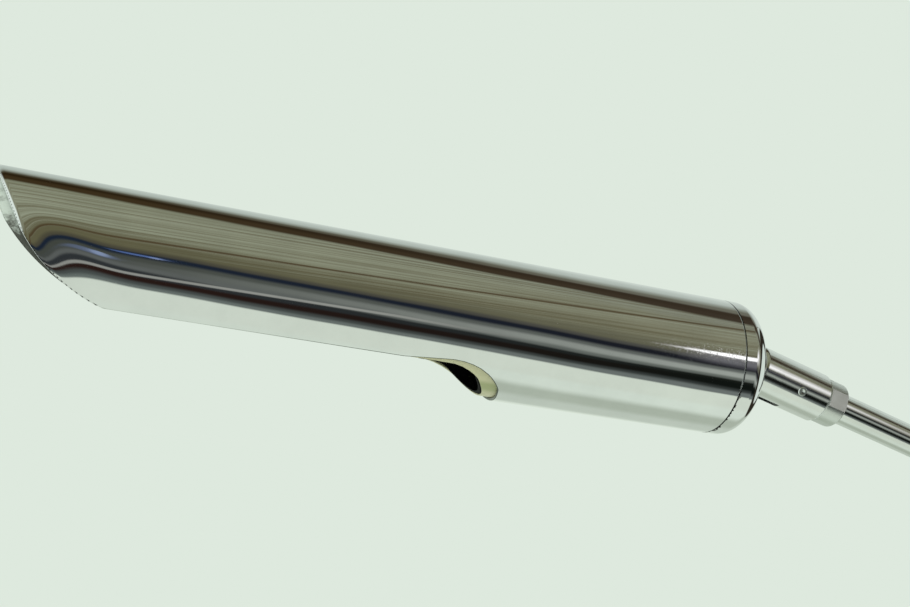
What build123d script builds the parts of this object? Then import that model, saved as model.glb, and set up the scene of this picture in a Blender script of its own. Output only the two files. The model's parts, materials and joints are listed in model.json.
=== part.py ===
from build123d import *
import math
import os

# Chrome tubular reading-lamp head on a tilting and swivelling arm joint.
# Millimetres, +Z up. The origin is the free end of the arm, on the arm's axis.
# The head lies level along X with its nose towards -X, and the arm leaves the
# joint towards +X, dropping by the rest angle.

# ---------------------------------------------------------------- driving sizes
tube_radius = 25.0            # outer radius of the chrome shade tube
tube_wall = 1.1
fit_gap = 0.05                # radial gap between sleeves that slide together

# Outlines of the open underside and the slashed nose, seen from the side:
# (distance from the seam, height above the axis), from the slot's closed end
# to where the nose's rim becomes straight, and that straight part's run over rise.
tube_outline = {
    "slot_foot": (84.3, -25.0),
    "slot_bend": ((86.4, -20.7), (92.2, -16.2), (106.7, -13.2)),
    "flat": ((122.0, -14.45), (216.7, -14.45)),
    "nose_bend": ((231.0, -7.4), (243.7, 5.7)),
    "nose_slope": 0.60,
}
sleeve_outline = {
    "slot_foot": (87.4, -25.0),
    "slot_bend": ((95.4, -17.0), (97.4, -15.2), (101.0, -14.2)),
    "flat": ((102.0, -14.2), (215.0, -14.2)),
    "nose_bend": ((234.6, -5.4), (248.3, 7.5)),
    "nose_slope": 0.62,
}

sleeve_wall = 0.65            # light inner sleeve
baffle_wall = 0.75            # black liner inside the sleeve
baffle_reach = 107.0          # seam to the liner's front edge
liner_back = 8.6              # seam to the back edge of sleeve and liner

cap_edge = 4.3                # straight part of the end cap
cap_round = 6.4               # rounded edge of the end cap
cap_wall = 2.2
cap_inner = 22.0              # inner radius of the cap and its skirt
seam_gap = 0.3                # hairline joint between tube and cap

pivot_reach = 24.2            # seam to the tilt pivot
rest_angle = 13.4             # how far the arm drops below the head's axis
arm_length = 160.0            # tilt pivot to the arm's free end

barrel_radius = 9.5
barrel_back = 7.1             # barrel's end behind the pivot
barrel_front = 23.2           # barrel's end ahead of the pivot
tongue_half = 6.6             # half the height of the tongue, and its eye's radius
tongue_thick = 4.7
slot_width = 5.6              # slot that the tongue turns in
slot_reach = 7.8              # slot's end ahead of the pivot
slot_roof = 7.9               # underside of the barrel's roof over the slot
pivot_radius = 2.0
stop_place = 11.0             # stop screw ahead of the pivot
stop_turn = 10.0              # how far round the barrel the stop screw sits below its side

bore_radius = 7.9             # barrel's bore, in which the spigot turns
spigot_radius = 7.85
groove_radius = 6.95          # floor of the spigot's stop groove
stop_land = 16.0              # angle of the land that ends the swivel, degrees
screw_head = 1.75             # stop screw's head radius
screw_seat = 0.25             # depth of the seat under its head
screw_shank = 1.25
screw_tip = 0.75
arm_radius = 6.0
arm_bore = 4.9
arm_start = 9.8               # arm tube's hidden end, ahead of the pivot
grip_length = 60.0            # free end of the arm, which a stand clamps
grip_groove = 0.3             # depth of the groove that marks how far it goes in
collar_radius = 8.7
collar_front = 32.1
collar_flats = 16.0           # across the spanner flats
flat_turn = 9.2               # the flats' turn about the arm's axis, degrees

nut_flats = 14.0              # lug nut, across its flats
nut_thick = 3.0
washer_thick = 1.0            # lock washer under the lug nut
stud_radius = 4.95
stud_bore = 3.6
stud_end = -6.0
lead_radius = 0.6
lead_reach = 3.4              # how far the leads run past the pivot, inside the tongue's eye

insert_radius = 7.0           # lampholder's threaded insert
insert_back = 3.6             # its back end, past the seam
holder_radius = 14.0
holder_split = -13.0          # joint between the holder's base and body
terminal_place = 6.0          # terminal screws, either side of the axis
terminal_radius = 1.0
bulb_radius = 12.5
bulb_tip = 139.0              # seam to the bulb's round end
thread_pitch = 2.82           # Edison screw, small size


# -------------------------------------------------------------------- helpers
def rod(x0, x1, radius):
    """Solid round bar along X."""
    return Pos((x0 + x1) / 2, 0, 0) * Cylinder(radius, x1 - x0, rotation=(0, 90, 0))


def ring(x0, x1, outer, inner):
    """Tube along X."""
    return rod(x0, x1, outer) - rod(x0 - 1, x1 + 1, inner)


def pin(y0, y1, radius, x=0.0, z=0.0):
    """Solid round bar along Y."""
    return Pos(x, (y0 + y1) / 2, z) * Cylinder(radius, y1 - y0, rotation=(90, 0, 0))


def block(x0, x1, y0, y1, z0, z1):
    """Box from its six faces."""
    centre = ((x0 + x1) / 2, (y0 + y1) / 2, (z0 + z1) / 2)
    return Pos(*centre) * Box(x1 - x0, y1 - y0, z1 - z0)


def turned(points):
    """Solid turned about X from a closed outline of (x, radius) points."""
    outline = Polyline([(x, 0, r) for x, r in points], close=True)
    return revolve(make_face(outline), Axis.X)


def hexagon(x0, x1, across):
    """Hexagonal bar along X, by its size across flats."""
    sketch = Plane.YZ * RegularPolygon(across / 2, 6, major_radius=False)
    return Pos(x0, 0, 0) * extrude(sketch, amount=x1 - x0)


def wave(x0, x1, radius, depth, steps_per_turn=6):
    """Outline points of a rolled screw thread, from x0 to x1."""
    count = round(abs(x1 - x0) / thread_pitch * steps_per_turn)
    points = []
    for i in range(count + 1):
        x = x0 + (x1 - x0) * i / count
        points.append((x, radius + depth * math.cos(2 * math.pi * (x - x0) / thread_pitch)))
    return points


# ------------------------------------------------------- the head's shared cut
def underside_cut(outline, width=60.0):
    """Tool that removes the open underside and slashes the nose."""
    below = tube_radius + 5.0
    foot = outline["slot_foot"]
    bend = outline["slot_bend"]
    flat = outline["flat"]
    waist, brow = outline["nose_bend"]
    slot_slope = (bend[0][0] - foot[0]) / (bend[0][1] - foot[1])
    deep = (foot[0] - slot_slope * (below + foot[1]), -below)
    top = (brow[0] + outline["nose_slope"] * (below - brow[1]), below)
    far = brow[0] + 60.0

    def at(point):
        return (-point[0], 0, point[1])

    edges = [
        Polyline([at(deep), at(bend[0])]),
        ThreePointArc(at(bend[0]), at(bend[1]), at(bend[2])),
        Polyline([at(bend[2]), at(flat[0]), at(flat[1])]),
        ThreePointArc(at(flat[1]), at(waist), at(brow)),
        Polyline([at(brow), at(top), at((far, below)), at((far, -below)), at(deep)]),
    ]
    return extrude(make_face(Curve() + edges), amount=width / 2, both=True)


# ------------------------------------------------------------ head: the shade
blank_length = 270.0          # length of the blanks before their cuts
tube_bore = tube_radius - tube_wall
sleeve_outer = tube_bore - fit_gap
sleeve_inner = sleeve_outer - sleeve_wall
baffle_outer = sleeve_inner - fit_gap
baffle_inner = baffle_outer - baffle_wall
cap_face = cap_edge + cap_round


def make_shade_tube():
    return ring(-blank_length, 0, tube_radius, tube_bore) - underside_cut(tube_outline)


def make_inner_sleeve():
    blank = ring(-blank_length, -liner_back, sleeve_outer, sleeve_inner)
    return blank - underside_cut(sleeve_outline)


def make_glare_baffle():
    blank = ring(-baffle_reach, -liner_back, baffle_outer, baffle_inner)
    return blank - underside_cut(sleeve_outline)


def make_end_cap():
    """Turned cap: skirt inside the tube, rounded edge, flat face with the stud's hole."""
    skirt = tube_bore - fit_gap
    rim = tube_radius
    crown = (cap_edge, rim - cap_round)
    turn = math.radians(45)
    crown_mid = (crown[0] + cap_round * math.sin(turn), crown[1] + cap_round * math.cos(turn))
    bowl = cap_round - cap_wall
    bowl_mid = (cap_edge + bowl * math.sin(turn), cap_inner - bowl + bowl * math.cos(turn))

    def at(point):
        return (point[0], 0, point[1])

    edges = [
        Polyline([at((-8.0, cap_inner)), at((-8.0, skirt)), at((seam_gap, skirt)),
                  at((seam_gap, rim)), at((cap_edge, rim))]),
        ThreePointArc(at((cap_edge, rim)), at(crown_mid), at((cap_face, crown[1]))),
        Polyline([at((cap_face, crown[1])), at((cap_face, 5.1)), at((cap_face - cap_wall, 5.1)),
                  at((cap_face - cap_wall, cap_inner - bowl))]),
        ThreePointArc(at((cap_face - cap_wall, cap_inner - bowl)), at(bowl_mid), at((cap_edge, cap_inner))),
        Line(at((cap_edge, cap_inner)), at((-8.0, cap_inner))),
    ]
    return revolve(make_face(Curve() + edges), Axis.X)


# --------------------------------------------------------- head: the tilt lug
def make_tilt_lug():
    """Flat tongue with its eye at the pivot, on a hollow threaded stud."""
    half = tongue_thick / 2
    tongue = block(cap_face, pivot_reach, -half, half, -tongue_half, tongue_half)
    eye = pin(-half, half, tongue_half, pivot_reach)
    shoulder = rod(cap_face, cap_face + 0.5, tongue_half + 0.2)
    stud = rod(stud_end, cap_face, stud_radius)
    solid = tongue + eye + shoulder + stud
    solid -= rod(stud_end - 1, cap_face, stud_bore)
    solid -= pin(-half - 1, half + 1, pivot_radius + fit_gap, pivot_reach)
    # wire way: up out of the stud's bore and over the eye
    way = 1.3
    solid -= block(6.0, 15.5, -way, way, 0.5, tongue_half + 1)
    solid -= block(15.0, pivot_reach + tongue_half + 1, -way, way, 3.3, tongue_half + 1)
    return solid


def make_lug_washer():
    """Internal-tooth lock washer under the lug's nut."""
    inside = cap_face - cap_wall
    back = inside - washer_thick
    bore = 6.0
    teeth = 8
    washer = ring(back, inside, 9.0, bore)
    tooth = block(back, inside, -0.8, 0.8, stud_radius + 0.15, bore + 0.4)
    for i in range(teeth):
        washer += Rot(360 / teeth * i, 0, 0) * tooth
    return washer


def make_lug_nut():
    """Thin nut that clamps the lug to the cap."""
    back = cap_face - cap_wall - washer_thick
    front = back - nut_thick
    return hexagon(front, back, nut_flats) - rod(front - 1, back + 1, stud_radius + fit_gap)


# ------------------------------------------------------ head: the lampholder
def make_holder_insert():
    """Threaded metal sleeve that screws on the stud's end."""
    return ring(stud_end - 0.5, insert_back, insert_radius, stud_radius + fit_gap)


def make_holder_base():
    """Moulded dome at the back of the lampholder."""
    bore = insert_radius + fit_gap
    outline = [
        (insert_back, bore), (insert_back, 9.0), (0.0, 9.4), (-3.5, 11.0), (-6.5, 13.2),
        (-8.5, holder_radius), (holder_split, holder_radius), (holder_split, 12.0),
        (-9.0, 11.6), (-6.6, 9.5), (-6.6, bore),
    ]
    return turned(outline)


def make_holder_body():
    """Moulded outer sleeve of the lampholder, with grip ribs."""
    front = -47.0
    back = holder_split - 0.1
    bore = 11.6
    mouth = 9.2
    outline = [
        (back, bore), (back, holder_radius), (-15.0, holder_radius), (-16.5, 13.4),
        (front + 2.5, 12.8), (front, 12.2), (front, mouth), (front + 2.0, mouth), (front + 2.0, bore),
    ]
    body = turned(outline)
    ribs = 16
    rib = block(front + 4.5, -18.0, -0.7, 0.7, 12.0, holder_radius - 0.1)
    for i in range(ribs):
        body += Rot(360 / ribs * i, 0, 0) * rib
    return body


def make_contact_carrier():
    """Round insulating block that carries the contacts and terminals."""
    carrier = rod(-20.0, -14.0, 11.5)
    pocket_half = 2.5
    for side in (-1, 1):
        across = side * terminal_place
        carrier -= block(-17.0, -13.0, across - pocket_half, across + pocket_half, -pocket_half, 4.2)
        carrier -= Pos(0, across, 0) * rod(-21, -13, terminal_radius + fit_gap)
    return carrier


def make_screw_shell():
    """Rolled screw shell that the bulb's cap turns into."""
    outer = wave(-44.5, -23.4, 7.75, 0.35)
    inner = [(x, r - 0.4) for x, r in reversed(outer)]
    flange = [(-20.7, 8.1), (-20.7, 10.5), (-20.1, 10.5), (-20.1, 7.7)]
    return turned(outer + flange + inner)


def make_centre_contact():
    """Sprung strip that presses on the bulb's tip."""
    foot = block(-20.8, -20.1, -1.8, 1.8, -5.0, 3.0)
    riser = block(-22.6, -20.1, -1.8, 1.8, 2.3, 3.0)
    tongue = block(-22.9, -22.3, -1.8, 1.8, -3.2, 3.0)
    return foot + riser + tongue


def make_terminal_screws():
    """Two slotted terminal screws in the carrier's pockets."""
    group = []
    for side in (-1, 1):
        screw = rod(-19.8, -15.2, terminal_radius) + rod(-15.2, -13.8, 1.9)
        screw -= block(-14.4, -13.0, -0.3, 0.3, -3, 3)
        group.append(Pos(0, side * terminal_place, 0) * screw)
    return Compound(group)


def make_lead(side):
    """Insulated lead from its terminal, through the stud, to the tongue's eye."""
    y_in = side * 0.62
    route = [
        (-16.6, side * terminal_place, 3.0), (-11.0, side * terminal_place, 3.0), (-5.0, y_in, 1.6),
        (5.5, y_in, 1.6), (12.5, y_in, 5.0), (pivot_reach + lead_reach, y_in, 5.0),
    ]
    path = FilletPolyline(*route, radius=2.0)
    start = Plane(origin=path @ 0, z_dir=path % 0)
    return sweep(start * Circle(lead_radius), path=path)


# ---------------------------------------------------------------- head: bulb
def make_bulb_cap():
    """Plated screw cap of the bulb."""
    outer = wave(-43.3, -27.4, 6.65, 0.3)
    skirt = [(-50.0, 6.9), (-44.3, 6.9)]
    nose = [(-26.2, 5.4), (-25.6, 4.2)]
    inner = [(-25.6, 3.4), (-26.6, 4.6), (-28.0, 5.8), (-50.0, 5.8)]
    return turned(skirt + outer + nose + inner)


def make_bulb_insulator():
    """Black glass button round the bulb's tip contact."""
    return turned([(-25.6, 1.9), (-25.6, 3.35), (-24.5, 2.6), (-24.2, 1.9)])


def make_bulb_contact():
    """Soldered tip contact."""
    return turned([(-25.6, 0), (-25.6, 1.85), (-24.1, 1.85), (-23.4, 1.2), (-23.1, 0)])


def make_bulb_glass():
    """Tubular glass envelope with a necked foot and a round end."""
    wall = 0.6
    neck = 5.4
    foot = -45.0
    shoulder = -58.0

    def at(point):
        return (point[0], 0, point[1])

    def edge(radius, end, neck_radius):
        round_centre = -bulb_tip + bulb_radius
        turn = math.radians(45)
        middle = (round_centre - radius * math.cos(turn), radius * math.sin(turn))
        return [
            Spline([at((foot, neck_radius)), at((foot - 5.5, neck_radius + 0.3)), at((shoulder, radius))],
                   tangents=[(-1, 0, 0), (-1, 0, 0.05)]),
            Line(at((shoulder, radius)), at((round_centre, radius))),
            ThreePointArc(at((round_centre, radius)), at(middle), at((end, 0))),
        ]

    outside = edge(bulb_radius, -bulb_tip, neck)
    inside = edge(bulb_radius - wall, -bulb_tip + wall, neck - wall)
    closing = [
        Line(at((foot, neck)), at((foot, neck - wall))),
        Line(at((-bulb_tip, 0)), at((-bulb_tip + wall, 0))),
    ]
    return revolve(make_face(Curve() + outside + inside + closing), Axis.X)


def make_bulb_stem():
    """Pressed glass stem that holds the filament's wires."""
    foot = turned([(-44.8, 0), (-44.8, 4.5), (-46.0, 4.5), (-52.0, 2.6), (-64.0, 2.0), (-64.0, 0)])
    button = Pos(-65.0, 0, 0) * Sphere(2.3)
    return foot + button


def make_bulb_filament():
    """Straight coil with its two lead wires, joined as one formed wire."""
    front = -bulb_tip + 18.0
    back = -72.0
    button = -67.3
    wire = 0.5
    half = wire / 2
    low, high = -3.0, 2.75       # heights of the coil's line and of the far lead's

    def run(x0, x1, z, thick=half):
        return block(x0, x1, -thick, thick, z - thick, z + thick)

    near = run(back, button, low) + block(button - wire, button, -half, half, low, -0.3)
    coil = run(front, back, low, 0.45)
    bridge = block(front - wire, front, -half, half, low - half, high + half)
    far = run(front - wire, button, high) + block(button - wire, button, -half, half, 0.3, high)
    return near + coil + bridge + far


# ------------------------------------------------------- joint: swivel barrel
def make_swivel_barrel():
    """Barrel with the tongue's slot at one end and the spigot's bore at the other."""
    barrel = rod(-barrel_back, barrel_front, barrel_radius)
    rims = barrel.edges().filter_by(GeomType.CIRCLE).sort_by(Axis.X)
    barrel = fillet(rims[0], 1.5)
    front_rim = barrel.edges().filter_by(GeomType.CIRCLE).sort_by(Axis.X)[-1]
    barrel = chamfer(front_rim, 0.25)
    half = slot_width / 2
    barrel -= block(-barrel_back - 1, slot_reach, -half, half, -barrel_radius - 1, slot_roof)
    bore_end = arm_start - 1.0
    barrel -= rod(slot_reach - 1, bore_end + 1, 3.0)
    barrel -= rod(bore_end, barrel_front + 1, bore_radius)
    barrel -= pin(-barrel_radius - 1, barrel_radius + 1, pivot_radius + 0.02)
    seat = pin(-barrel_radius - 1, -barrel_radius + screw_seat, screw_head + fit_gap, stop_place)
    hole = pin(-barrel_radius - 1, -bore_radius + 2, screw_shank + fit_gap, stop_place)
    return barrel - Rot(stop_turn, 0, 0) * (seat + hole)


def make_pivot_pin():
    """Riveted pivot pin, its ends ground flush with the barrel."""
    return pin(-barrel_radius, barrel_radius, pivot_radius) & rod(-5, 5, barrel_radius)


def make_friction_washers():
    """Pair of thin washers, one on each side of the tongue."""
    inner = tongue_thick / 2 + 0.08
    outer = slot_width / 2 - 0.02
    pair = []
    for side in (-1, 1):
        low, high = sorted((side * inner, side * outer))
        pair.append(pin(low, high, tongue_half - 0.5) - pin(-5, 5, pivot_radius + fit_gap))
    return Compound(pair)


def make_stop_screw():
    """Small socket screw whose tip runs in the spigot's groove."""
    head = pin(-barrel_radius - 0.3, -barrel_radius + screw_seat, screw_head, stop_place)
    rim = head.edges().filter_by(GeomType.CIRCLE).sort_by(Axis.Y)[0]
    head = chamfer(rim, 0.2)
    shank = pin(-barrel_radius, -bore_radius, screw_shank, stop_place)
    tip = pin(-bore_radius - 0.1, -groove_radius - 0.1, screw_tip, stop_place)
    socket = pin(-barrel_radius - 1, -barrel_radius + 0.6, 0.95, stop_place)
    return Rot(stop_turn, 0, 0) * (head + shank + tip - socket)


# ------------------------------------------------------------------- the arm
def make_swivel_spigot():
    """Bush on the arm's end that the barrel turns on, with a groove and its stop."""
    spigot = ring(arm_start - 0.7, barrel_front + 0.05, spigot_radius, arm_radius + 0.02)
    side = screw_tip + 0.1
    groove = ring(stop_place - side, stop_place + side, spigot_radius + 1, groove_radius)
    reach = 2 * spigot_radius
    half = math.radians(stop_land / 2)
    wedge_face = make_face(Polyline([
        (0, 0, 0), (0, reach * math.cos(half), reach * math.sin(half)),
        (0, reach * math.cos(half), -reach * math.sin(half)),
    ], close=True))
    wedge = Pos(stop_place - 2, 0, 0) * extrude(wedge_face, amount=4, dir=(1, 0, 0))
    return spigot - (groove - Rot(stop_turn, 0, 0) * wedge)


def make_swivel_washer():
    """Thin washer between the barrel and the collar nut."""
    return ring(barrel_front + 0.1, barrel_front + 0.55, collar_radius - 0.4, arm_radius + 0.1)


def make_collar_nut():
    """Round nut with two spanner flats and a pin-spanner hole."""
    back = barrel_front + 0.6
    nut = rod(back, collar_front, collar_radius)
    ends = nut.edges().filter_by(GeomType.CIRCLE).sort_by(Axis.X)
    nut = chamfer(ends[0], 0.35)
    front_end = nut.edges().filter_by(GeomType.CIRCLE).sort_by(Axis.X)[-1]
    nut = fillet(front_end, 0.6)
    half = collar_flats / 2
    for side in (-1, 1):
        low, high = sorted((side * half, side * 12.0))
        nut -= Rot(-flat_turn, 0, 0) * block(back + 0.5, collar_front + 1, low, high, -10, 10)
    pin_hole = Pos(back + 2.0, 0, collar_radius) * Cylinder(0.7, 3.0)
    nut -= Rot(16, 0, 0) * pin_hole
    return nut - rod(back - 1, collar_front + 1, arm_radius + 0.02)


def make_arm_tube():
    """Chromed tube, with a groove that marks how far a stand's clamp goes on."""
    mark = arm_length - grip_length
    tube = ring(arm_start, arm_length, arm_radius, arm_bore)
    return tube - ring(mark - 1.5, mark, arm_radius + 1, arm_radius - grip_groove)


def make_arm_bush():
    """Plastic edge guard for the wires, flush in the arm's end."""
    return ring(arm_length - 8.0, arm_length, arm_bore - fit_gap, 3.4)


def make_arm_cable():
    """Two-core cable inside the arm."""
    return rod(arm_start + 0.2, arm_length - 2.0, 3.0)


# ------------------------------------------------------------------ assembly
slope = math.radians(rest_angle)
pivot = (-arm_length * math.cos(slope), 0.0, arm_length * math.sin(slope))
head_place = Pos(pivot[0] - pivot_reach, 0, pivot[2])
arm_place = Pos(*pivot) * Rot(0, rest_angle, 0)

head_parts = {
    "shade_tube": make_shade_tube(),
    "inner_sleeve": make_inner_sleeve(),
    "glare_baffle": make_glare_baffle(),
    "end_cap": make_end_cap(),
    "tilt_lug": make_tilt_lug(),
    "lug_washer": make_lug_washer(),
    "lug_nut": make_lug_nut(),
    "holder_insert": make_holder_insert(),
    "holder_base": make_holder_base(),
    "holder_body": make_holder_body(),
    "contact_carrier": make_contact_carrier(),
    "screw_shell": make_screw_shell(),
    "centre_contact": make_centre_contact(),
    "terminal_screws": make_terminal_screws(),
    "live_lead": make_lead(-1),
    "neutral_lead": make_lead(1),
    "bulb_cap": make_bulb_cap(),
    "bulb_insulator": make_bulb_insulator(),
    "bulb_contact": make_bulb_contact(),
    "bulb_glass": make_bulb_glass(),
    "bulb_stem": make_bulb_stem(),
    "bulb_filament": make_bulb_filament(),
}

arm_parts = {
    "swivel_barrel": make_swivel_barrel(),
    "pivot_pin": make_pivot_pin(),
    "friction_washers": make_friction_washers(),
    "stop_screw": make_stop_screw(),
    "swivel_spigot": make_swivel_spigot(),
    "swivel_washer": make_swivel_washer(),
    "collar_nut": make_collar_nut(),
    "arm_tube": make_arm_tube(),
    "arm_bush": make_arm_bush(),
    "arm_cable": make_arm_cable(),
}

os.makedirs("parts", exist_ok=True)
for place, parts in ((head_place, head_parts), (arm_place, arm_parts)):
    for name, shape in parts.items():
        export_step(place * shape, f"parts/{name}.step")
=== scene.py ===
import json
import math

import bpy
import numpy as np
from mathutils import Matrix, Vector

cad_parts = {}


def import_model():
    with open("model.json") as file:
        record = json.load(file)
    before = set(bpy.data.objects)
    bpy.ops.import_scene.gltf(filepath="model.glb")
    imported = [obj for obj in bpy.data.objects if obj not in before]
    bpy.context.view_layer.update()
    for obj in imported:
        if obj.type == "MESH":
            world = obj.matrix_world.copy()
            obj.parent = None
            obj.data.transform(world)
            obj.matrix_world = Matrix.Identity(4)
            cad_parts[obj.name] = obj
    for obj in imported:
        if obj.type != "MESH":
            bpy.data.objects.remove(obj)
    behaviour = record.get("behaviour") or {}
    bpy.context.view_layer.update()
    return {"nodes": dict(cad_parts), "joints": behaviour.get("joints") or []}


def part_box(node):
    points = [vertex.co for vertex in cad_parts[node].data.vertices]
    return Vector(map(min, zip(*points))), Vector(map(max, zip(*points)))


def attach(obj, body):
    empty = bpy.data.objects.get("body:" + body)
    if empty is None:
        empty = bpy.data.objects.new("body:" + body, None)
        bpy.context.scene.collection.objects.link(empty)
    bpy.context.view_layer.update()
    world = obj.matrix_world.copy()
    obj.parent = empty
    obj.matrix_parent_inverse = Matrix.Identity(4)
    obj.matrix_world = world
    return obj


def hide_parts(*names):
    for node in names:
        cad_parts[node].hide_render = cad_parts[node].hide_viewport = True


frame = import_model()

# ------------------------------------------------------------------ the frame
# Metres, +Z up. The head lies level along X, its nose towards -X.
MM = 0.001
seam = Vector((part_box("shade_tube")[1].x, 0.0, sum(c.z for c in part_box("end_cap")) / 2))
tilt_joint = next(j for j in frame["joints"] if j["name"] == "head_tilt")
swivel_joint = next(j for j in frame["joints"] if j["name"] == "head_swivel")
pivot = Vector(tilt_joint["pos_m"])
arm_line = Vector(swivel_joint["axis"])
arm_drop = math.atan2(-arm_line.z, arm_line.x)

# The cut tubes' sides, as (distance from the seam, height above the axis) in
# millimetres: the slot's closed end, the flat and the nose, with the run over rise
# of the nose's straight part.
TUBE = {
    "radius": 25.0, "wall": 1.1, "back": 0.0,
    "slot_foot": (84.3, -25.0), "slot_bend": ((86.4, -20.7), (92.2, -16.2), (106.7, -13.2)),
    "flat": ((122.0, -14.45), (216.7, -14.45)),
    "nose_bend": ((231.0, -7.4), (243.7, 5.7)), "nose_slope": 0.60,
}
SLEEVE = {
    "radius": 23.85, "wall": 0.65, "back": 8.6,
    "slot_foot": (87.4, -25.0), "slot_bend": ((94.2, -18.1), (98.4, -15.8), (104.5, -14.2)),
    "flat": ((105.5, -14.2), (215.0, -14.2)),
    "nose_bend": ((234.6, -5.4), (248.3, 7.5)), "nose_slope": 0.62,
}


# ------------------------------------------------------------------ materials
def linear(r, g, b):
    """Scene colour of a display colour given from 0 to 255."""
    def one(v):
        v = v / 255
        return v / 12.92 if v <= 0.04045 else ((v + 0.055) / 1.055) ** 2.4
    return (one(r), one(g), one(b))


class Finish:
    """One node material: a Principled shader and the detail that feeds it."""

    def __init__(
        self, name, base=(0.8, 0.8, 0.8), roughness=0.5, metallic=0.0, at=None, turn=0.0
    ):
        self.material = bpy.data.materials.new(name)
        self.material.use_nodes = True
        self.tree = self.material.node_tree
        self.tree.nodes.clear()
        self.output = self.add("OutputMaterial")
        self.shader = self.add("BsdfPrincipled")
        self.link(self.shader.outputs[0], self.output.inputs["Surface"])
        self.set("Base Color", (*base, 1.0))
        self.set("Roughness", roughness)
        self.set("Metallic", metallic)
        coords = self.add("TexCoord").outputs["Object"]
        mapping = self.add("Mapping")
        mapping.vector_type = "TEXTURE"
        mapping.inputs["Location"].default_value = at if at is not None else seam
        mapping.inputs["Rotation"].default_value = (0.0, turn, 0.0)
        self.link(coords, mapping.inputs["Vector"])
        self.place = mapping.outputs[0]
        self.height = None

    def add(self, kind):
        return self.tree.nodes.new("ShaderNode" + kind)

    def link(self, a, b):
        self.tree.links.new(a, b)

    def fed(self, socket):
        """What already feeds one of the shader's sockets."""
        return self.shader.inputs[socket].links[0].from_socket

    def set(self, socket, value):
        """Links or sets one of the shader's sockets."""
        if isinstance(value, bpy.types.NodeSocket):
            self.link(value, self.shader.inputs[socket])
        else:
            self.shader.inputs[socket].default_value = value

    def feed(self, socket, value):
        """Links or sets any node's socket."""
        if isinstance(value, bpy.types.NodeSocket):
            self.link(value, socket)
        else:
            socket.default_value = value

    def math(self, operation, a, b=0.0, c=0.0):
        node = self.add("Math")
        node.operation = operation
        for socket, value in zip(node.inputs, (a, b, c)):
            self.feed(socket, value)
        return node.outputs[0]

    def split(self, vector=None):
        node = self.add("SeparateXYZ")
        self.link(vector or self.place, node.inputs[0])
        return node.outputs

    def joined(self, x, y, z):
        node = self.add("CombineXYZ")
        for socket, value in zip(node.inputs, (x, y, z)):
            self.feed(socket, value)
        return node.outputs[0]

    def stretched(self, scale, vector=None):
        node = self.add("Mapping")
        node.inputs["Scale"].default_value = scale
        self.link(vector or self.place, node.inputs["Vector"])
        return node.outputs[0]

    def noise(self, scale, detail=3.0, rough=0.5, stretch=None, vector=None):
        node = self.add("TexNoise")
        node.inputs["Scale"].default_value = scale
        node.inputs["Detail"].default_value = detail
        node.inputs["Roughness"].default_value = rough
        source = vector or self.place
        if stretch:
            source = self.stretched(stretch, source)
        self.link(source, node.inputs["Vector"])
        return node.outputs["Fac"]

    def range(self, value, low, high, to_low=0.0, to_high=1.0, smooth=False):
        node = self.add("MapRange")
        node.interpolation_type = "SMOOTHSTEP" if smooth else "LINEAR"
        self.feed(node.inputs["Value"], value)
        ends = {"From Min": low, "From Max": high, "To Min": to_low, "To Max": to_high}
        for name, number in ends.items():
            self.feed(node.inputs[name], number)
        return node.outputs[0]

    def mix(self, factor, a, b):
        node = self.add("Mix")
        node.data_type = "RGBA"
        self.feed(node.inputs["Factor"], factor)
        for socket, value in ((node.inputs[6], a), (node.inputs[7], b)):
            if isinstance(value, bpy.types.NodeSocket):
                self.link(value, socket)
            else:
                socket.default_value = (*value, 1.0)
        return node.outputs[2]

    def bump(self, height, distance, strength=1.0):
        node = self.add("Bump")
        node.inputs["Distance"].default_value = distance
        node.inputs["Strength"].default_value = strength
        self.link(height, node.inputs["Height"])
        if self.height is not None:
            self.link(self.height, node.inputs["Normal"])
        self.height = node.outputs[0]
        self.set("Normal", self.height)


def chrome(
    name, at=None, turn=0.0, wave=3.0e-5, wave_scale=9.0, grind=0.0,
    tint=(0.875, 0.88, 0.885), rough=0.0,
):
    """Polished chrome plate: faint waves, wiping marks, dust and hairline scratches."""
    f = Finish(name, tint, 0.04, 1.0, at, turn)
    haze = f.noise(70.0, 5.0, 0.6)
    wiped = f.noise(500.0, 3.0, 0.6, (0.08, 1.0, 1.0))
    dull = tuple(0.93 * c for c in tint)
    f.set("Base Color", f.mix(f.range(haze, 0.35, 0.7), tint, dull))
    level = f.range(haze, 0.3, 0.75, 0.025 + rough, 0.06 + 1.3 * rough)
    level = f.math("ADD", level, f.range(wiped, 0.55, 0.8, 0.0, 0.05))
    dust_cells = f.add("TexVoronoi")
    dust_cells.inputs["Scale"].default_value = 900.0
    f.link(f.place, dust_cells.inputs["Vector"])
    speck = f.range(dust_cells.outputs["Distance"], 0.05, 0.12, 1.0, 0.0)
    speck = f.math("MULTIPLY", speck, f.range(f.noise(260.0, 2.0), 0.62, 0.68))
    f.set("Roughness", f.math("ADD", level, f.math("MULTIPLY", speck, 0.3)))
    f.bump(f.noise(wave_scale, 1.0, 0.4, (0.35, 1.0, 1.0)), wave)
    f.bump(f.noise(9000.0, 2.0, 0.7, (0.01, 1.0, 1.0)), 1.0e-7 + grind)
    return f


def slot_edge_painted_dark(f):
    """The cut edge along the slot is painted dark, a painted shade standing in for the dark it
    reflects; the nose's rim keeps the plain chrome and shows bright.
    """
    along = f.split()[0]
    # painted shade: a dark tone for the cut edge, from the slot's end to near the nose
    dull = (0.10, 0.11, 0.09)
    f.set("Base Color", f.mix(f.range(along, -0.19, -0.13), f.fed("Base Color"), dull))


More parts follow.
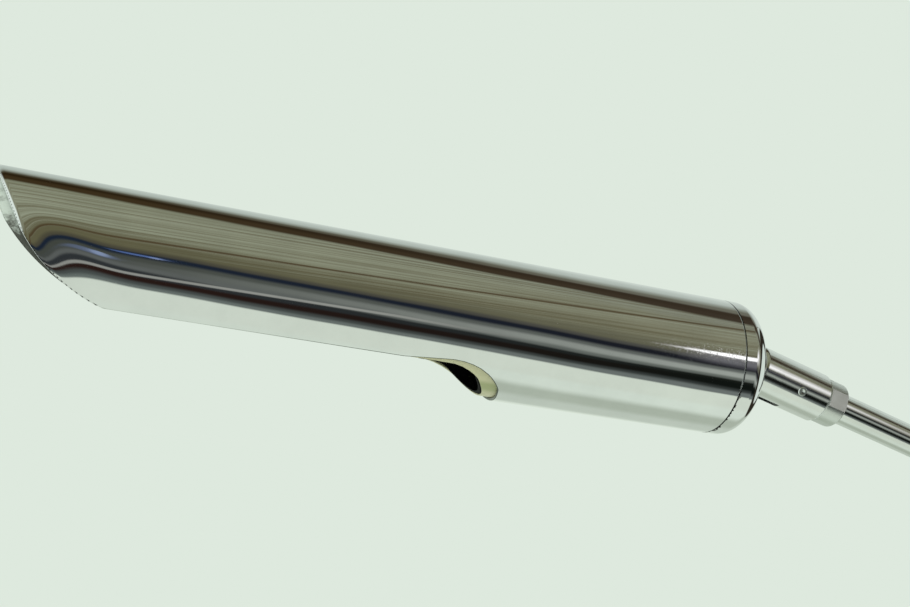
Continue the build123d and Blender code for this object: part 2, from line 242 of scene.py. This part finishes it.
def dusty_patch(f):
    """Dust and fingermarks on the tube's side, close to the cap."""
    x, _, z = f.split()
    close = f.range(x, -0.052, -0.012, smooth=True)
    patch = f.math("MULTIPLY", close, f.range(z, -0.002, 0.003, smooth=True))
    patch = f.math("MULTIPLY", patch, f.range(z, 0.005, 0.010, 1.0, 0.0, smooth=True))
    grit = f.range(f.noise(1500.0, 3.0, 0.7), 0.5, 0.66)
    dust = f.math("MULTIPLY", f.math("MULTIPLY", patch, grit), 0.28)
    f.set("Roughness", f.math("ADD", f.fed("Roughness"), dust))


def seam_gap_shade(f):
    """Painted shade: dark specks along the lower part of the cap's front edge, beside the seam's
    gap.
    """
    x, _, z = f.split()
    broken = f.noise(640.0, 1.0, 0.5)
    reach = f.range(broken, 0.5, 0.62, -0.0002, 0.0008)
    near = f.range(f.math("SUBTRACT", x, f.math("ADD", reach, 0.0003)), 0.0, 0.0001, 1.0, 0.0)
    low = f.range(z, -0.006, -0.012)
    gap_shade = f.math("MULTIPLY", near, low)
    # painted shade of the seam's gap, low on the cap
    f.set("Base Color", f.mix(gap_shade, f.fed("Base Color"), (0.02, 0.018, 0.012)))


def sleeve_finish():
    """Cream enamel with a painted shade low down, and a bright stretch without enamel towards the
    nose, painted light above and dark below as a painted reflection.
    """
    cream_tone, painted_shade_tone = linear(206, 201, 166), linear(150, 158, 106)
    f = Finish("cream_sleeve", cream_tone, 0.4)
    x, _, z = f.split()
    # painted shade: an olive band low on the sleeve, about 20 mm below the axis
    painted_shade = f.math("ABSOLUTE", f.math("SUBTRACT", z, -0.0202))
    painted_shade = f.range(painted_shade, 0.0006, 0.0024, 0.75, 0.0, smooth=True)
    enamel = f.mix(painted_shade, cream_tone, painted_shade_tone)
    mottle = f.noise(330.0, 4.0, 0.65)
    enamel = f.mix(f.range(mottle, 0.4, 0.7, 0.0, 0.25), enamel, linear(176, 172, 140))
    # painted reflection: towards the nose the sleeve's metal is painted light above 4 to 8 mm
    # height and dark below it
    band = f.math("ADD", z, f.range(mottle, 0.3, 0.7, -0.003, 0.003))
    upper = f.range(band, 0.004, 0.008, smooth=True)
    bare_and_reflection = f.mix(upper, linear(78, 79, 73), linear(190, 198, 190))
    blotch = f.range(f.noise(380.0, 3.0, 0.6), 0.5, 0.7, 0.0, 0.6)
    bare_and_reflection = f.mix(blotch, bare_and_reflection, linear(96, 98, 92))
    f.set("Base Color", f.mix(f.range(x, -0.19, -0.215), enamel, bare_and_reflection))
    f.set("Roughness", f.range(mottle, 0.3, 0.7, 0.3, 0.5))
    f.bump(mottle, 4.0e-6)
    return f


# ---------------------------------------------------------------- cut tubes
def circle_through(a, b, c):
    """Centre and radius of the circle through three points."""
    rows = np.array([[b[0] - a[0], b[1] - a[1]], [c[0] - a[0], c[1] - a[1]]]) * 2
    square = [p[0] ** 2 + p[1] ** 2 for p in (a, b, c)]
    centre = np.linalg.solve(rows, [square[1] - square[0], square[2] - square[0]])
    return centre, math.dist(centre, a)


class Outline:
    """Side outline of a cut tube: the slot's closed end, the flat and the nose."""

    def __init__(self, sizes):
        self.foot = sizes["slot_foot"]
        self.bend = sizes["slot_bend"]
        self.flat = sizes["flat"]
        self.waist, self.brow = sizes["nose_bend"]
        self.slope = sizes["nose_slope"]
        self.slot_circle = circle_through(*self.bend)
        self.nose_circle = circle_through(self.flat[1], self.waist, self.brow)
        self.split = self.bend[1][0]

    def edge_height(self, reach):
        """Height of the opening's edge, between the split and the nose's foot."""
        (cx, cz), radius = self.slot_circle
        end, start = self.bend[2], self.flat[0]
        if reach <= end[0]:
            return cz + math.sqrt(radius**2 - (reach - cx) ** 2)
        if reach >= start[0]:
            return start[1]
        return end[1] + (start[1] - end[1]) * (reach - end[0]) / (start[0] - end[0])

    def slot_reach(self, height):
        """Distance of the slot's closed end, at a height below the split's."""
        top = self.bend[0]
        if height <= top[1]:
            share = (height - self.foot[1]) / (top[1] - self.foot[1])
            return self.foot[0] + share * (top[0] - self.foot[0])
        (cx, cz), radius = self.slot_circle
        return cx - math.sqrt(max(radius**2 - (height - cz) ** 2, 0.0))

    def nose_reach(self, height):
        """Distance of the nose's rim."""
        if height >= self.brow[1]:
            return self.brow[0] + self.slope * (height - self.brow[1])
        (cx, cz), radius = self.nose_circle
        return cx + math.sqrt(max(radius**2 - (height - cz) ** 2, 0.0))


class Shell:
    """Collects vertices with their normals, and faces, for one smooth mesh."""

    def __init__(self):
        self.points = []
        self.normals = []
        self.faces = []
        self.edge_faces = (0, 0)

    def add(self, point, normal):
        self.points.append(tuple(point))
        self.normals.append(tuple(normal))
        return len(self.points) - 1

    def strips(self, rows, closed=False):
        """Faces between successive rows of vertex numbers of one length."""
        for one, two in zip(rows, rows[1:]):
            count = len(one) if closed else len(one) - 1
            for i in range(count):
                k = (i + 1) % len(one)
                face = (one[i], one[k], two[k], two[i])
                if len(set(face)) > 2:
                    self.faces.append(tuple(dict.fromkeys(face)))

    def build(self, name, finish, edge_finish):
        """The mesh object, with the opening's edge in its own finish."""
        mesh = bpy.data.meshes.new(name)
        mesh.from_pydata([tuple(c * MM for c in p) for p in self.points], [], self.faces)
        mesh.transform(Matrix.Translation(seam))
        mesh.polygons.foreach_set("use_smooth", [True] * len(mesh.polygons))
        mesh.normals_split_custom_set_from_vertices([Vector(n).normalized() for n in self.normals])
        mesh.materials.append(finish.material)
        mesh.materials.append(edge_finish.material)
        first, last = self.edge_faces
        for polygon in mesh.polygons[first:last]:
            polygon.material_index = 1
        piece = bpy.data.objects.new(name, mesh)
        bpy.context.scene.collection.objects.link(piece)
        return piece


RIM_STEPS = 5                 # faces across each rounded edge
COLUMNS_OVER = 112            # faces round a tube, above its opening and below it
COLUMNS_UNDER = 52
ROWS_BACK = 14                # faces along a tube, behind the slot's end and ahead of it
ROWS_FRONT = 64
NOSE_CROWDING = 1.6           # how much the rows close up towards the nose

LIP = 1.7                     # width of the nose's dressed rim, millimetres
LIP_LEAN = math.radians(38)   # how far its surface leans to the nose, near the top
FLARE = 5.5                   # reach of the slight flare behind the rim, millimetres
FLARE_TURN = 10.5             # its turn, degrees
FLARE_RISE = (6.0, 18.0)      # where it is strongest above the tube's side, and its spread
DENT = (13.0, 8.0, -4.0)      # a shallow dent behind the flare: place, reach and turn


def rolled_rim(shell, loop, wall, rounding):
    """Rounded edge along a loop of (point, surface normal, outward direction, lean).

    Returns the rows of vertex numbers, from the outer surface to the inner one.
    """
    rows = []
    for side, depth in ((1, rounding), (-1, wall - rounding)):
        for k in range(RIM_STEPS + 1):
            turn = math.radians(90) * k / RIM_STEPS
            out, up = math.sin(turn), math.cos(turn)
            if side < 0:
                out, up = up, -out
            row = []
            for p, n, t, lean in loop:
                centre = p - t * rounding - n * depth
                direction = t * out + n * up
                shade = direction
                if side > 0 and lean:
                    tip = lean + (math.radians(90) - lean) * k / RIM_STEPS
                    shade = t * math.sin(tip) + n * math.cos(tip)
                row.append(shell.add(centre + direction * rounding, shade))
            rows.append(row)
    return rows


def cut_tube(name, finish, edge_finish, sizes, rounding, dressed):
    """Tube with a slashed nose and an open underside, its edges rounded.

    A dressed tube also has a rim that leans to the nose and a slight flare behind it.
    """
    shell = Shell()
    side = Outline(sizes)
    radius, wall, back = sizes["radius"], sizes["wall"], sizes["back"]
    foot = side.flat[1][0]

    def edge_angle(reach):
        return math.degrees(math.asin(side.edge_height(reach) / radius))

    low = edge_angle(side.split)
    shares = np.linspace(0.0, 1.0, COLUMNS_OVER + 1)
    over = [low + (180 - 2 * low) * s for s in shares]
    under = list(np.linspace(180 - low, 360 + low, COLUMNS_UNDER + 1)[1:-1])
    columns = over + under

    def normal(angle):
        a = math.radians(angle)
        return Vector((0, -math.cos(a), math.sin(a)))

    def on(angle, x):
        n = normal(angle)
        return Vector((x, radius * n.y, radius * n.z))

    def end_of(angle):
        if angle > 180 - low:
            return -side.slot_reach(radius * math.sin(math.radians(angle)))
        return -side.split

    back_grid = []
    for j in range(ROWS_BACK + 1):
        share = j / ROWS_BACK
        back_grid.append([on(a, -back + (end_of(a) + back) * share) for a in columns])
    front_grid, front_angles = [], []
    for j in range(1, ROWS_FRONT + 1):
        share = 1 - (1 - j / ROWS_FRONT) ** NOSE_CROWDING
        start = edge_angle(side.split + (foot - side.split) * share)
        angles = [start + (180 - 2 * start) * s for s in shares]
        row = []
        for a in angles:
            rim = side.nose_reach(radius * math.sin(math.radians(a)))
            row.append(on(a, -(side.split + (rim - side.split) * share)))
        front_grid.append(row)
        front_angles.append(angles)

    # the opening's edge, once round: near flat, nose, far flat, slot
    last = len(over) - 1
    places = [("f", j, 0) for j in range(-1, ROWS_FRONT - 1)]
    places += [("f", ROWS_FRONT - 1, i) for i in range(last + 1)]
    places += [("f", j, last) for j in range(ROWS_FRONT - 2, -2, -1)]
    places += [("b", ROWS_BACK, i) for i in range(last + 1, len(columns))]

    def point_at(place):
        grid, j, i = place
        if grid == "b" or j < 0:
            return back_grid[ROWS_BACK][i]
        return front_grid[j][i]

    def angle_at(place):
        grid, j, i = place
        if grid == "b" or j < 0:
            return columns[i]
        return front_angles[j][i]

    def rim_gap(angle, point):
        return abs(point.x + side.nose_reach(radius * math.sin(math.radians(angle))))

    def lean_at(angle, point):
        if not dressed:
            return 0.0
        low_lean, low_rise, full_rise = 0.3, 8.0, 24.0
        rise = min(angle, 180 - angle)
        high = min(1.0, max(0.0, (rise - low_rise) / (full_rise - low_rise)))
        lean = LIP_LEAN * (low_lean + (1 - low_lean) * high)
        return lean * max(0.0, 1 - rim_gap(angle, point) / LIP)

    def dressed_normal(angle, point):
        rise = min(angle, 180 - angle)
        gap = rim_gap(angle, point)
        turn = FLARE_TURN * math.exp(-((gap / FLARE) ** 2))
        turn += DENT[2] * math.exp(-(((gap - DENT[0]) / DENT[1]) ** 2))
        turn *= math.exp(-(((rise - FLARE_RISE[0]) / FLARE_RISE[1]) ** 2))
        n = normal(angle + (turn if angle < 90 else -turn))
        lean = lean_at(angle, point)
        return n * math.cos(lean) - Vector((math.sin(lean), 0, 0))

    edge = []
    count = len(places)
    for k, place in enumerate(places):
        p = point_at(place)
        tangent = (point_at(places[(k + 1) % count]) - point_at(places[k - 1])).normalized()
        n = normal(angle_at(place))
        lean = lean_at(angle_at(place), p)
        edge.append((p.copy(), n, n.cross(tangent).normalized(), lean))

    ring = [(p.copy(), normal(a), Vector((1, 0, 0)), 0.0) for p, a in zip(back_grid[0], columns)]
    back_rows = rolled_rim(shell, ring, wall, rounding)
    edge_rows = rolled_rim(shell, edge, wall, rounding)
    on_edge = {}
    for k, (grid, j, i) in enumerate(places):
        key = ("b", ROWS_BACK, i) if grid == "b" or j < 0 else (grid, j, i)
        on_edge[key] = k

    for layer, edge_row, ring_row, sign in (
        (0.0, edge_rows[0], back_rows[0], 1), (wall, edge_rows[-1], back_rows[-1], -1)
    ):
        def vertex(grid, j, i):
            if (grid, j, i) in on_edge:
                return edge_row[on_edge[(grid, j, i)]]
            if grid == "b" and j == 0:
                return ring_row[i]
            p = back_grid[j][i] if grid == "b" else front_grid[j][i]
            angle = columns[i] if grid == "b" else front_angles[j][i]
            n = normal(angle)
            shade = n * sign
            if dressed and grid == "f" and sign > 0:
                shade = dressed_normal(angle, p)
            return shell.add(p - n * layer, shade)

        rows = [[vertex("b", j, i) for i in range(len(columns))] for j in range(ROWS_BACK + 1)]
        fronts = [rows[-1][: last + 1]]
        fronts += [[vertex("f", j, i) for i in range(last + 1)] for j in range(ROWS_FRONT)]
        if sign < 0:
            rows = rows[::-1]
            fronts = fronts[::-1]
        shell.strips(rows, closed=True)
        shell.strips(fronts)
    first = len(shell.faces)
    shell.strips(edge_rows, closed=True)
    shell.edge_faces = (first, len(shell.faces))
    shell.strips(back_rows[::-1], closed=True)
    return shell.build(name, finish, edge_finish)


# -------------------------------------------------------------- the surround
CHROME_SHARE = 0.87           # how much of a light the chrome gives back
TENT_RADIUS = 2.5             # metres
TENT_LENGTH = 9.0             # either way from the seam
CAP_X, NOSE_X = 1.38, -0.37   # where the tent is seen in the tube's two ends
TENT_ROLL = -1.4              # turn of the tent and the view about the tube, degrees
TENT_SLANT = 8.0              # how much the tent's bands slope, degrees a metre
BOARD_SLOPE = -22.0           # how much more its boards' streaks do

# From the top down: each band's upper edge at the cap's end and at the nose's, its
# softness, and its colour at each end.
BANDS = (
    (152, 152, 40, (172, 182, 174), (170, 181, 172)),             # sweep low
    (134, 131, 14, (132, 137, 126), (120, 124, 112)),             # sweep foot
    (126, 125, 7, (104, 104, 92), (72, 68, 52)),                  # sweep edge
    (116, 120, 6, (54, 46, 36), (42, 32, 16)),                    # rail
    (106, 112, 8, (58, 50, 40), (58, 46, 27)),                    # rail lit
    (95.5, 100.5, 6, (129, 133, 118), (126, 130, 108)),           # boards top
    (80, 88, 20, (128, 130, 110), (137, 142, 120)),               # boards
    (64, 58, 24, (122, 122, 101), (130, 135, 113)),               # boards low
    (46, 46, 12, (108, 107, 86), (108, 109, 87)),                 # gold
    (34, 36, 12, (95, 95, 78), (92, 90, 66)),                     # gold low
    (22, 22, 6, (70, 71, 68), (72, 70, 56)),                      # ledge
    (17, 17, 4, (26, 27, 32), (26, 36, 50)),                      # navy
    (9.5, 11, 5, (95, 100, 96), (64, 68, 62)),                    # grey top
    (4.5, 5, 5, (150, 156, 149), (66, 70, 66)),                   # grey
    (-4.5, -1, 5, (98, 104, 98), (88, 92, 90)),                   # grey low
    (-9.5, -7, 4, (22, 26, 22), (46, 50, 52)),                    # black top
    (-14, -15, 4, (16, 20, 17), (40, 26, 22)),                    # black
    (-23.5, -22, 5, (50, 55, 53), (70, 76, 74)),                  # steel top
    (-28, -27, 5, (104, 111, 108), (98, 107, 103)),               # steel
    (-35.8, -31.8, 3, (203, 213, 199), (200, 210, 197)),          # floor
    (-62, -62, 10, (206, 218, 205), (200, 211, 198)),             # floor far
    (-85, -85, 16, (168, 179, 164), (168, 179, 164)),             # fold
    (-112, -112, 16, (184, 195, 182), (184, 195, 182)),           # floor back
    (-148, -148, 16, (205, 216, 203), (208, 219, 205)),           # floor rise
)

# Glints beyond the nose: place along the tent, level, half sizes, colour and strength.
GLINTS = (
    (-0.172, 14.4, 0.020, 1.4, (190, 205, 240), 0.9),
    (-0.215, 14.6, 0.090, 1.5, (84, 108, 160), 0.8),
    (-0.305, 3.6, 0.030, 3.4, (170, 188, 222), 0.8),
    (-0.325, 3.0, 0.080, 4.0, (98, 112, 140), 0.6),
)


def tent_light(display):
    """Light that shows in the chrome as a display colour."""
    return tuple(c / CHROME_SHARE for c in linear(*display))


def tent():
    """Colours of the studio tent round the tube's line, seen only in reflections.

    They lie by x, in metres along the tent, and by level, in degrees round it.
    """
    f = Finish("studio_tent", at=Vector((0.0, 0.0, 0.0)))
    f.tree.nodes.remove(f.shader)
    emission = f.add("Emission")
    f.link(emission.outputs[0], f.output.inputs["Surface"])
    x, y, z = f.split()
    angle = f.math("ARCTAN2", z, f.math("MULTIPLY", y, -1.0))
    angle = f.math("MULTIPLY", angle, math.degrees(1.0))
    along = f.range(x, NOSE_X, CAP_X)
    at = f.joined(f.math("MULTIPLY", x, 1.3), f.math("MULTIPLY", angle, 0.02), 0.0)
    sway = f.noise(1.0, 2.0, 0.5, vector=at)
    level = f.math("MULTIPLY_ADD", x, TENT_SLANT, angle)
    swayed = f.math("ADD", level, f.range(sway, 0.3, 0.7, -2.0, 2.0))
    # the upper bands run down beyond the cap's end
    drop = f.math("MULTIPLY", f.range(x, 1.45, 3.0, 0.0, 30.0), f.range(level, 50.0, 80.0))
    swayed = f.math("ADD", swayed, drop)

    colour = f.mix(along, tent_light((196, 206, 198)), tent_light((197, 207, 199)))
    for cap_edge, nose_edge, soft, cap_colour, nose_colour in BANDS:
        tone = f.mix(along, tent_light(nose_colour), tent_light(cap_colour))
        edge = f.range(along, 0.0, 1.0, nose_edge, cap_edge)
        share = f.range(f.math("SUBTRACT", edge, swayed), -soft / 2, soft / 2, smooth=True)
        colour = f.mix(share, colour, tone)

    # boards: streaks that slope more than the bands do
    slope = f.math("MULTIPLY_ADD", x, BOARD_SLOPE, level)
    below = f.range(swayed, 94.0, 99.0, 1.0, 0.0)
    inside = f.math("MULTIPLY", f.range(level, 24.0, 38.0), below)
    for along_scale, across_scale, depth in ((0.5, 0.30, 0.62), (0.9, 1.1, 0.45)):
        run = f.math("MULTIPLY", x, along_scale)
        at = f.joined(run, f.math("MULTIPLY", slope, across_scale), 0.0)
        grain = f.noise(1.0, 4.0, 0.6, vector=at)
        dark = f.math("MULTIPLY", f.range(grain, 0.5, 0.64), inside)
        colour = f.mix(f.math("MULTIPLY", dark, depth), colour, tent_light((84, 76, 52)))
        light = f.math("MULTIPLY", f.range(grain, 0.48, 0.36), inside)
        light = f.math("MULTIPLY", light, 0.8 * depth)
        colour = f.mix(light, colour, tent_light((152, 158, 138)))

    # a board's dark joint, which wanders down towards the nose
    path = f.math("MULTIPLY_ADD", f.math("MULTIPLY_ADD", x, 2.3, 23.0), x, 41.0)
    wander = f.noise(1.0, 2.0, 0.5, vector=f.joined(x, 0.0, 0.0))
    path = f.math("ADD", path, f.range(wander, 0.3, 0.7, -1.5, 1.5))
    joint = f.math("ABSOLUTE", f.math("SUBTRACT", level, path))
    joint = f.range(joint, 0.6, 2.4, 1.0, 0.0, smooth=True)
    colour = f.mix(f.math("MULTIPLY", joint, 0.8), colour, tent_light((70, 56, 36)))

    # a bright edge under the grey band, lower towards the nose
    path = f.range(x, NOSE_X, 0.45, -15.5, -4.5)
    streak = f.math("ABSOLUTE", f.math("SUBTRACT", level, path))
    streak = f.range(streak, 0.8, 2.6, 1.0, 0.0, smooth=True)
    streak = f.math("MULTIPLY", streak, f.range(x, 0.4, 0.9, 0.85, 0.0))
    colour = f.mix(streak, colour, tent_light((150, 152, 146)))
    for place, height, half_x, half_level, tone, strength in GLINTS:
        far_x = f.math("DIVIDE", f.math("SUBTRACT", x, place), half_x)
        far_x = f.math("POWER", far_x, 2.0)
        far_level = f.math("DIVIDE", f.math("SUBTRACT", level, height), half_level)
        far_level = f.math("POWER", far_level, 2.0)
        spot = f.range(f.math("ADD", far_x, far_level), 0.2, 1.0, strength, 0.0, smooth=True)
        colour = f.mix(spot, colour, tent_light(tone))

    # window light beyond the cap's end, and its glow below
    glow = f.math("MULTIPLY", f.range(level, 10.0, 20.0), f.range(level, 27.0, 30.0, 1.0, 0.0))
    near = f.math("MULTIPLY", f.range(x, 1.27, 1.38), f.range(x, 1.55, 1.75, 1.0, 0.0))
    glow = f.math("MULTIPLY", f.math("MULTIPLY", glow, near), 0.75)
    colour = f.mix(glow, colour, tent_light((112, 112, 118)))
    centre = f.math("ADD", f.range(x, 1.24, 1.46, 28.3, 30.2), f.range(x, 1.5, 2.1, 0.0, 12.5))
    widen = f.math("ADD", f.range(x, 1.22, 1.42, 0.2, 2.8), f.range(x, 1.55, 2.0, 0.0, 7.0))
    window = f.math("ABSOLUTE", f.math("SUBTRACT", level, centre))
    soft = f.range(x, 1.5, 2.0, 1.2, 11.0)
    inside = f.math("SUBTRACT", widen, window)
    window = f.range(inside, f.math("MULTIPLY", soft, -1.0), soft, smooth=True)
    window = f.math("MULTIPLY", window, f.range(x, 1.2, 1.36))
    window = f.math("MULTIPLY", window, f.range(x, 2.15, 2.6, 1.0, 0.2))
    bright = f.range(x, 1.5, 2.0, 1.5, 1.05)
    colour = f.mix(window, colour, f.joined(bright, bright, bright))

    # the tent's two ends: a dark upright beyond the cap, pale cloth beyond both
    colour = f.mix(f.range(x, 3.2, 3.6, smooth=True), colour, tent_light((44, 40, 32)))
    colour = f.mix(f.range(x, 5.4, 6.2, smooth=True), colour, tent_light((205, 216, 207)))
    colour = f.mix(f.range(x, -1.2, -1.8, smooth=True), colour, tent_light((214, 225, 216)))
    f.link(colour, emission.inputs["Color"])
    return f


def tent_mesh():
    """The tent itself: a closed drum round the tube's line."""
    sides, hoops = 96, 36
    verts, faces = [], []
    for x in np.linspace(-TENT_LENGTH, TENT_LENGTH, hoops + 1):
        for i in range(sides):
            a = 2 * math.pi * i / sides
            verts.append((x, TENT_RADIUS * math.cos(a), TENT_RADIUS * math.sin(a)))
    for j in range(hoops):
        for i in range(sides):
            k = (i + 1) % sides
            faces.append((j * sides + i, j * sides + k, (j + 1) * sides + k, (j + 1) * sides + i))
    faces.append(tuple(range(sides)))
    faces.append(tuple(hoops * sides + i for i in range(sides)))
    mesh = bpy.data.meshes.new("studio_tent")
    mesh.from_pydata(verts, [], faces)
    mesh.materials.append(tent().material)
    tent_object = bpy.data.objects.new("studio_tent", mesh)
    tent_object.location = seam
    tent_object.rotation_euler.x = math.radians(TENT_ROLL)
    bpy.context.scene.collection.objects.link(tent_object)
    tent_object.visible_camera = False
    tent_object.visible_diffuse = False
    tent_object.visible_transmission = False
    tent_object.visible_shadow = False


# ------------------------------------------------------------ stage and light
PALE = linear(222, 233, 222)  # the backdrop's colour
FLOOR_LEVEL = -0.62
FLOOR_RADIUS = 6.0

# The camera's lens and sensor in millimetres, its place from the seam, and the
# directions to its right, up and ahead.
LENS, SENSOR = 43.79, 36.0
EYE_PLACE = Vector((-0.2086, -0.370739, -0.014446))
EYE_RIGHT = Vector((0.94694, -0.28138, 0.15533))
EYE_UP = Vector((-0.16437, -0.00866, 0.98636))
EYE_AHEAD = Vector((0.27620, 0.95956, 0.05445))


def world():
    """Even pale light all round."""
    studio = bpy.data.worlds.new("studio")
    studio.use_nodes = True
    background = studio.node_tree.nodes["Background"]
    background.inputs["Color"].default_value = (*PALE, 1.0)
    background.inputs["Strength"].default_value = 1.0
    bpy.context.scene.world = studio
    bpy.context.scene.view_settings.view_transform = "Standard"


def floor():
    """Plain pale floor of the backdrop's own colour, without a visible edge."""
    f = Finish("pale_floor", (0.01, 0.011, 0.01), 0.9)
    cloth = f.noise(6.0, 3.0, 0.5)
    f.set("Emission Color", f.mix(cloth, tuple(0.997 * c for c in PALE), PALE))
    f.set("Emission Strength", 0.99)
    f.set("Specular IOR Level", 0.0)
    rings, sides = 24, 96
    verts, faces = [(0, 0, FLOOR_LEVEL)], []
    for j in range(1, rings + 1):
        r = FLOOR_RADIUS * (j / rings) ** 1.5
        for i in range(sides):
            a = 2 * math.pi * i / sides
            verts.append((r * math.cos(a), r * math.sin(a), FLOOR_LEVEL))
    for i in range(sides):
        faces.append((0, 1 + i, 1 + (i + 1) % sides))
    for j in range(rings - 1):
        for i in range(sides):
            a, b = 1 + j * sides + i, 1 + j * sides + (i + 1) % sides
            faces.append((a, a + sides, b + sides, b))
    mesh = bpy.data.meshes.new("pale_floor")
    mesh.from_pydata(verts, [], faces)
    mesh.materials.append(f.material)
    ground = bpy.data.objects.new("pale_floor", mesh)
    bpy.context.scene.collection.objects.link(ground)
    ground.visible_glossy = False


def area_light(name, offset, size, power):
    """Soft lamp at an offset from the seam, turned to it and left out of reflections."""
    data = bpy.data.lights.new(name, "AREA")
    data.shape = "RECTANGLE"
    data.size, data.size_y = size
    data.energy = power
    lamp = bpy.data.objects.new(name, data)
    lamp.location = seam + Vector(offset)
    lamp.rotation_mode = "QUATERNION"
    lamp.rotation_quaternion = (-Vector(offset)).to_track_quat("-Z", "Y")
    lamp.visible_glossy = False
    bpy.context.scene.collection.objects.link(lamp)


def camera():
    """Camera at the photo's viewing angle."""
    data = bpy.data.cameras.new("camera")
    data.lens = LENS
    data.sensor_width = SENSOR
    data.clip_start = 0.01
    eye = bpy.data.objects.new("camera", data)
    turn = Matrix((EYE_RIGHT, EYE_UP, -EYE_AHEAD)).transposed().to_4x4()
    eye.matrix_world = Matrix.Translation(seam + EYE_PLACE) @ turn
    bpy.context.scene.collection.objects.link(eye)
    bpy.context.scene.camera = eye


# ------------------------------------------------------------------ finishes
def plain(name, base, roughness, metallic=0.0, scale=400.0, depth=2.0e-6, spread=0.12):
    """A moulded, painted or plain metal surface with a fine grain."""
    f = Finish(name, base, roughness, metallic)
    fine = f.noise(scale, 4.0, 0.6)
    broad = f.noise(scale / 12, 3.0, 0.5)
    darker = tuple(c * (1 - spread) for c in base)
    f.set("Base Color", f.mix(broad, darker, base))
    rougher = min(1.0, roughness * 1.15)
    f.set("Roughness", f.range(fine, 0.3, 0.7, roughness * 0.85, rougher))
    f.bump(fine, depth)
    return f


def dress(finish, *nodes):
    """Gives CAD nodes a finish."""
    for node in nodes:
        mesh = frame["nodes"][node].data
        for i in range(len(mesh.materials)):
            mesh.materials[i] = finish.material


world()
floor()
tent_mesh()
camera()
area_light("key", (-0.9, -1.1, 1.5), (1.6, 1.2), 16.0)
area_light("fill", (1.2, -0.9, 0.4), (1.2, 1.0), 5.0)

shade_chrome = chrome("chrome_shade")
dusty_patch(shade_chrome)
edge_chrome = chrome("chrome_edge", rough=0.15)
# the slot's cut edge gets a painted shade
slot_edge_painted_dark(edge_chrome)
cap_chrome = chrome("chrome_cap", wave=8.0e-6, wave_scale=30.0)
# painted shade along the seam's gap on the cap
seam_gap_shade(cap_chrome)
turned = {"at": pivot, "turn": arm_drop, "wave": 6.0e-6, "wave_scale": 40.0}
joint_chrome = chrome("chrome_joint", tint=(0.86, 0.865, 0.86), rough=0.05, **turned)
arm_chrome = chrome("chrome_arm", tint=(0.82, 0.83, 0.82), rough=0.05, **turned)
collar_chrome = chrome(
    "chrome_collar", tint=(0.76, 0.78, 0.76), rough=0.26, grind=6.0e-7, **turned
)
cream = sleeve_finish()
black = plain("black_baffle", (0.006, 0.006, 0.005), 0.8)
black.set("Specular IOR Level", 0.15)
phenolic = plain("black_phenolic", (0.012, 0.011, 0.010), 0.35, spread=0.3)
ceramic = plain("white_ceramic", linear(226, 222, 210), 0.7, scale=900.0, depth=8.0e-6)
brass = plain("turned_brass", linear(205, 176, 110), 0.25, 1.0, 700.0, 1.0e-6)
zinc = plain("zinc_steel", linear(188, 190, 192), 0.35, 1.0, 600.0, 1.5e-6)
fibre = plain("red_fibre", linear(150, 70, 50), 0.8, scale=1500.0, depth=6.0e-6, spread=0.3)
brown = plain("brown_insulation", linear(96, 62, 40), 0.4, scale=300.0)
blue = plain("blue_insulation", linear(48, 84, 150), 0.4, scale=300.0)
sheath = plain("white_sheath", linear(222, 220, 210), 0.45, scale=250.0)
nylon = plain("white_nylon", linear(228, 228, 222), 0.5, scale=500.0)
nickel = plain("nickel_cap", linear(196, 194, 186), 0.28, 1.0, 500.0, 1.5e-6)
button = plain("black_glass", (0.01, 0.01, 0.014), 0.15)
solder = plain("solder", linear(176, 178, 180), 0.4, 1.0, 900.0, 1.0e-5)
tungsten = plain("tungsten", linear(120, 118, 114), 0.5, 1.0, 3000.0)
glass = plain("clear_glass", (0.96, 0.98, 0.97), 0.03, scale=90.0, depth=4.0e-6, spread=0.02)
glass.set("Transmission Weight", 1.0)
glass.set("IOR", 1.47)

tube = cut_tube("chrome_tube", shade_chrome, edge_chrome, TUBE, rounding=0.4, dressed=True)
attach(tube, "head")
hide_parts("shade_tube")
sleeve = cut_tube("cream_sleeve", cream, cream, SLEEVE, rounding=0.25, dressed=False)
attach(sleeve, "head")
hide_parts("inner_sleeve")

dress(cap_chrome, "end_cap")
dress(joint_chrome, "swivel_barrel", "pivot_pin", "tilt_lug", "stop_screw")
dress(arm_chrome, "arm_tube")
dress(collar_chrome, "collar_nut")
dress(black, "glare_baffle")
dress(phenolic, "holder_base", "holder_body")
dress(ceramic, "contact_carrier")
dress(brass, "holder_insert", "screw_shell", "centre_contact", "swivel_spigot")
dress(zinc, "lug_washer", "lug_nut", "terminal_screws", "swivel_washer")
dress(fibre, "friction_washers")
dress(brown, "live_lead")
dress(blue, "neutral_lead")
dress(sheath, "arm_cable")
dress(nylon, "arm_bush")
dress(nickel, "bulb_cap")
dress(button, "bulb_insulator")
dress(solder, "bulb_contact")
dress(tungsten, "bulb_filament")
dress(glass, "bulb_glass", "bulb_stem")
